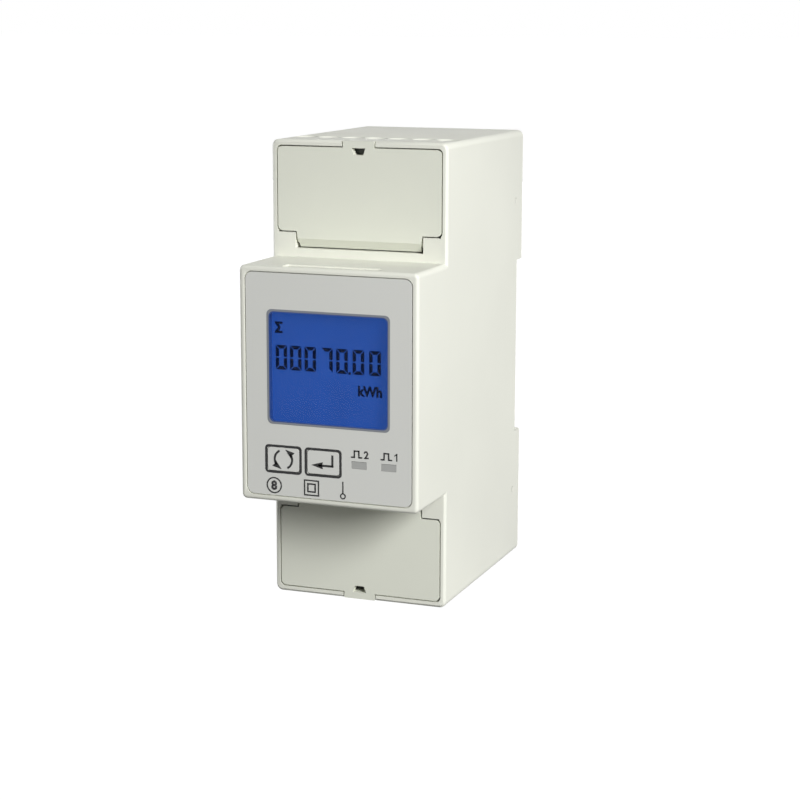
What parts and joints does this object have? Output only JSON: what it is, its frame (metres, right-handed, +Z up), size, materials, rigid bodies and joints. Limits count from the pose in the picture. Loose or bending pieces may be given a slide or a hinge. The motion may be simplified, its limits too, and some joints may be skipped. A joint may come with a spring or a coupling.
{
  "type": "din rail energy meter",
  "caption": "Slim electricity meter for a top-hat rail: raised nose with display and keys, hinged terminal covers, cage-clamp terminals and a sprung rail latch.",
  "frame": {"origin": "centre of the width and of the depth, at the height of the lowest face", "axes": "+Z up along the height, +X to the right seen from the front, -Y out of the front face, so the rail lies on the +Y side"},
  "size_m": [0.036, 0.063, 0.09],
  "materials": {
    "housing": "light warm grey, fine matt",
    "cover": "light warm grey, fine matt",
    "base": "light grey, matt",
    "plate": "grey printed film",
    "window": "clear, tinted by the lit display",
    "lcd": "blue, glossy",
    "guide": "lit blue",
    "key": "grey, satin",
    "switch": "black",
    "pipe": "clear, frosted, light grey while unlit",
    "led": "clear resin",
    "board": "green solder resist",
    "chip": "black",
    "capacitor": "yellow-brown",
    "can": "brushed",
    "varistor": "blue coating",
    "ferrite": "dark grey",
    "rubber": "soft",
    "insulator": "mid grey",
    "steel": "zinc-plated",
    "brass": "nickel-free, dull",
    "copper": "tinned copper",
    "latch": "dark grey"
  },
  "bodies": {
    "meter": {"front_housing": "housing", "rear_base": "base", "faceplate": "plate", "display_window": "window", "lcd_panel": "lcd", "lcd_backlight": "guide", "lcd_frame": "insulator", "lcd_contact_strips": "rubber", "scroll_switch": "switch", "enter_switch": "switch", "pulse_light_1": "pipe", "pulse_light_2": "pipe", "pulse_leds": "led", "display_board": "board", "board_header": "chip", "power_board": "board", "film_capacitor": "capacitor", "smoothing_capacitor": "can", "varistor": "varistor", "supply_transformer": "ferrite", "optocouplers": "chip", "processor": "chip", "metering_chip": "chip", "data_transceiver": "chip", "terminal_block": "insulator", "terminal_carrier": "insulator", "aux_contacts": "copper", "line_in_bar": "copper", "line_out_bar": "copper", "shunt": "brass", "neutral_bar": "copper", "latch_spring": "steel"},
    "upper_cover": {"upper_cover": "cover"},
    "lower_cover": {"lower_cover": "cover"},
    "rail_latch": {"rail_latch": "latch"},
    "scroll_key": {"scroll_key": "key"},
    "enter_key": {"enter_key": "key"},
    "main_screw_1": {"main_screw_1": "steel"},
    "main_cage_1": {"main_cage_1": "steel"},
    "main_screw_2": {"main_screw_2": "steel"},
    "main_cage_2": {"main_cage_2": "steel"},
    "main_screw_3": {"main_screw_3": "steel"},
    "main_cage_3": {"main_cage_3": "steel"},
    "main_screw_4": {"main_screw_4": "steel"},
    "main_cage_4": {"main_cage_4": "steel"},
    "aux_screw_1": {"aux_screw_1": "steel"},
    "aux_cage_1": {"aux_cage_1": "brass"},
    "aux_screw_2": {"aux_screw_2": "steel"},
    "aux_cage_2": {"aux_cage_2": "brass"},
    "aux_screw_3": {"aux_screw_3": "steel"},
    "aux_cage_3": {"aux_cage_3": "brass"},
    "aux_screw_4": {"aux_screw_4": "steel"},
    "aux_cage_4": {"aux_cage_4": "brass"},
    "aux_screw_5": {"aux_screw_5": "steel"},
    "aux_cage_5": {"aux_cage_5": "brass"},
    "aux_screw_6": {"aux_screw_6": "steel"},
    "aux_cage_6": {"aux_cage_6": "brass"},
    "aux_screw_7": {"aux_screw_7": "steel"},
    "aux_cage_7": {"aux_cage_7": "brass"}
  },
  "joints": [
    {"name": "upper_cover_hinge", "type": "hinge", "parent": "meter", "child": "upper_cover", "pos_m": [0, -0.0145, 0.0708], "axis": [1, 0, 0], "range_deg": [0, 90]},
    {"name": "lower_cover_hinge", "type": "hinge", "parent": "meter", "child": "lower_cover", "pos_m": [0, -0.0145, 0.0192], "axis": [-1, 0, 0], "range_deg": [0, 90]},
    {"name": "rail_latch_slide", "type": "slide", "parent": "meter", "child": "rail_latch", "axis": [0, 0, -1], "range_m": [0, 0.004], "stiffness_N_per_m": 800, "springref_m": -0.002, "deforming": ["latch_spring"]},
    {"name": "scroll_key_press", "type": "slide", "parent": "meter", "child": "scroll_key", "axis": [0, 1, 0], "range_m": [0, 0.0003], "stiffness_N_per_m": 1500, "springref_m": -0.0003},
    {"name": "enter_key_press", "type": "slide", "parent": "meter", "child": "enter_key", "axis": [0, 1, 0], "range_m": [0, 0.0003], "stiffness_N_per_m": 1500, "springref_m": -0.0003},
    {"name": "main_screw_1_turn", "type": "hinge", "parent": "meter", "child": "main_screw_1", "pos_m": [-0.0123, -0.0131, 0.0092], "axis": [0, 1, 0], "range_deg": [0, 2160]},
    {"name": "main_cage_1_draw", "type": "slide", "parent": "meter", "child": "main_cage_1", "axis": [0, -1, 0], "range_m": [0, 0.0042]},
    {"name": "main_screw_2_turn", "type": "hinge", "parent": "meter", "child": "main_screw_2", "pos_m": [-0.0041, -0.0131, 0.0092], "axis": [0, 1, 0], "range_deg": [0, 2160]},
    {"name": "main_cage_2_draw", "type": "slide", "parent": "meter", "child": "main_cage_2", "axis": [0, -1, 0], "range_m": [0, 0.0042]},
    {"name": "main_screw_3_turn", "type": "hinge", "parent": "meter", "child": "main_screw_3", "pos_m": [0.0041, -0.0131, 0.0092], "axis": [0, 1, 0], "range_deg": [0, 2160]},
    {"name": "main_cage_3_draw", "type": "slide", "parent": "meter", "child": "main_cage_3", "axis": [0, -1, 0], "range_m": [0, 0.0042]},
    {"name": "main_screw_4_turn", "type": "hinge", "parent": "meter", "child": "main_screw_4", "pos_m": [0.0123, -0.0131, 0.0092], "axis": [0, 1, 0], "range_deg": [0, 2160]},
    {"name": "main_cage_4_draw", "type": "slide", "parent": "meter", "child": "main_cage_4", "axis": [0, -1, 0], "range_m": [0, 0.0042]},
    {"name": "aux_screw_1_turn", "type": "hinge", "parent": "meter", "child": "aux_screw_1", "pos_m": [-0.0147, -0.0131, 0.0828], "axis": [0, 1, 0], "range_deg": [0, 1080]},
    {"name": "aux_cage_1_draw", "type": "slide", "parent": "meter", "child": "aux_cage_1", "axis": [0, -1, 0], "range_m": [0, 0.0012]},
    {"name": "aux_screw_2_turn", "type": "hinge", "parent": "meter", "child": "aux_screw_2", "pos_m": [-0.0098, -0.0131, 0.0828], "axis": [0, 1, 0], "range_deg": [0, 1080]},
    {"name": "aux_cage_2_draw", "type": "slide", "parent": "meter", "child": "aux_cage_2", "axis": [0, -1, 0], "range_m": [0, 0.0012]},
    {"name": "aux_screw_3_turn", "type": "hinge", "parent": "meter", "child": "aux_screw_3", "pos_m": [-0.0049, -0.0131, 0.0828], "axis": [0, 1, 0], "range_deg": [0, 1080]},
    {"name": "aux_cage_3_draw", "type": "slide", "parent": "meter", "child": "aux_cage_3", "axis": [0, -1, 0], "range_m": [0, 0.0012]},
    {"name": "aux_screw_4_turn", "type": "hinge", "parent": "meter", "child": "aux_screw_4", "pos_m": [0, -0.0131, 0.0828], "axis": [0, 1, 0], "range_deg": [0, 1080]},
    {"name": "aux_cage_4_draw", "type": "slide", "parent": "meter", "child": "aux_cage_4", "axis": [0, -1, 0], "range_m": [0, 0.0012]},
    {"name": "aux_screw_5_turn", "type": "hinge", "parent": "meter", "child": "aux_screw_5", "pos_m": [0.0049, -0.0131, 0.0828], "axis": [0, 1, 0], "range_deg": [0, 1080]},
    {"name": "aux_cage_5_draw", "type": "slide", "parent": "meter", "child": "aux_cage_5", "axis": [0, -1, 0], "range_m": [0, 0.0012]},
    {"name": "aux_screw_6_turn", "type": "hinge", "parent": "meter", "child": "aux_screw_6", "pos_m": [0.0098, -0.0131, 0.0828], "axis": [0, 1, 0], "range_deg": [0, 1080]},
    {"name": "aux_cage_6_draw", "type": "slide", "parent": "meter", "child": "aux_cage_6", "axis": [0, -1, 0], "range_m": [0, 0.0012]},
    {"name": "aux_screw_7_turn", "type": "hinge", "parent": "meter", "child": "aux_screw_7", "pos_m": [0.0147, -0.0131, 0.0828], "axis": [0, 1, 0], "range_deg": [0, 1080]},
    {"name": "aux_cage_7_draw", "type": "slide", "parent": "meter", "child": "aux_cage_7", "axis": [0, -1, 0], "range_m": [0, 0.0012]}
  ],
  "couplings": [
    {"joint": "main_screw_1_turn", "follows": "main_cage_1_draw", "rad_per_m": 8976},
    {"joint": "main_screw_2_turn", "follows": "main_cage_2_draw", "rad_per_m": 8976},
    {"joint": "main_screw_3_turn", "follows": "main_cage_3_draw", "rad_per_m": 8976},
    {"joint": "main_screw_4_turn", "follows": "main_cage_4_draw", "rad_per_m": 8976},
    {"joint": "aux_screw_1_turn", "follows": "aux_cage_1_draw", "rad_per_m": 15708},
    {"joint": "aux_screw_2_turn", "follows": "aux_cage_2_draw", "rad_per_m": 15708},
    {"joint": "aux_screw_3_turn", "follows": "aux_cage_3_draw", "rad_per_m": 15708},
    {"joint": "aux_screw_4_turn", "follows": "aux_cage_4_draw", "rad_per_m": 15708},
    {"joint": "aux_screw_5_turn", "follows": "aux_cage_5_draw", "rad_per_m": 15708},
    {"joint": "aux_screw_6_turn", "follows": "aux_cage_6_draw", "rad_per_m": 15708},
    {"joint": "aux_screw_7_turn", "follows": "aux_cage_7_draw", "rad_per_m": 15708}
  ]
}
